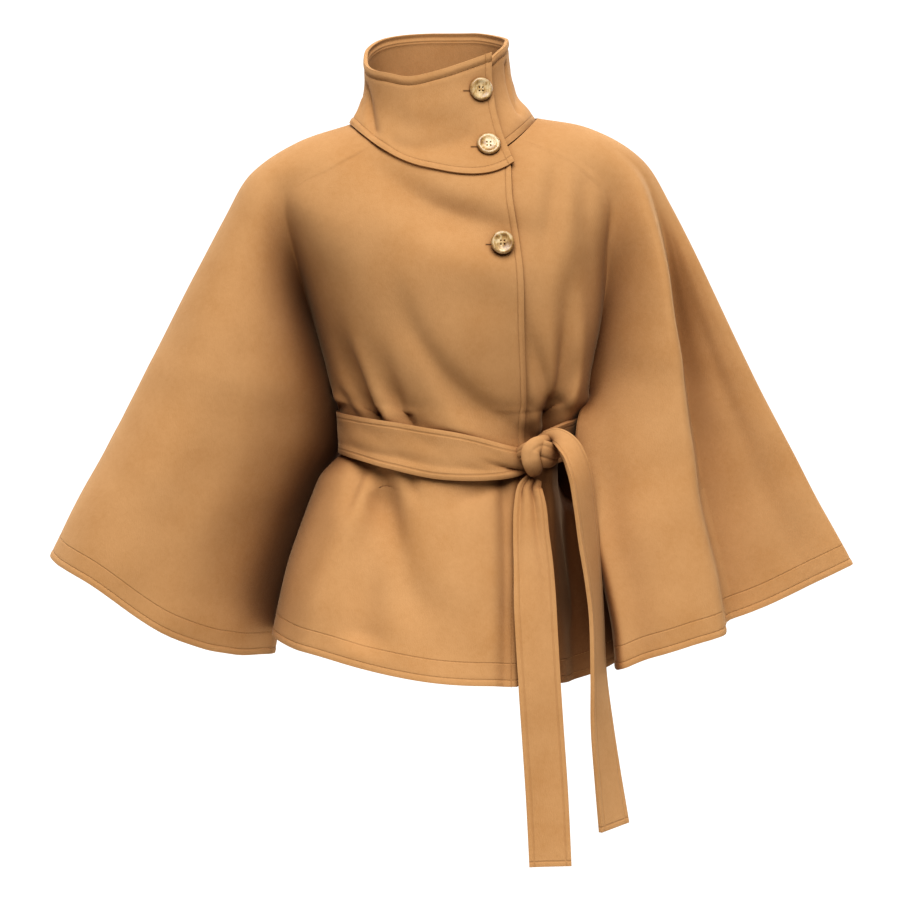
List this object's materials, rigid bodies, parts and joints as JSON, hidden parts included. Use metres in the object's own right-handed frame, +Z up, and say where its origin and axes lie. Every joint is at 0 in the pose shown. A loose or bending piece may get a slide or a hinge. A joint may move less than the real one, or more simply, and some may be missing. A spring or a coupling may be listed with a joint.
{
  "type": "belted cape coat",
  "caption": "Short wool cape coat with a funnel collar, buttoned off-centre front, wide sleeves cut in one with the body and a tied belt, held in its worn shape.",
  "frame": {"origin": "middle of the neck seam, where the coat is carried on the wearer's neck and shoulders", "axes": "+Z up, the coat's front faces -Y, the wearer's left is +X"},
  "size_m": [0.8846, 0.2962, 0.8911],
  "materials": {
    "front_right": "matte brushed wool coating",
    "front_left": "matte brushed wool coating",
    "back": "matte brushed wool coating",
    "collar": "matte brushed wool coating",
    "belt_band": "matte brushed wool coating",
    "belt_knot": "matte brushed wool coating",
    "belt_tail_long": "matte brushed wool coating",
    "belt_tail_short": "matte brushed wool coating",
    "button_top": "semi-gloss mottled horn look",
    "button_mid": "semi-gloss mottled horn look",
    "button_low": "semi-gloss mottled horn look"
  },
  "bodies": {
    "root": {"front_right": "front_right", "front_left": "front_left", "back": "back", "collar": "collar", "belt_band": "belt_band", "belt_knot": "belt_knot", "belt_tail_long": "belt_tail_long", "belt_tail_short": "belt_tail_short", "button_top": "button_top", "button_mid": "button_mid", "button_low": "button_low"}
  },
  "joints": []
}
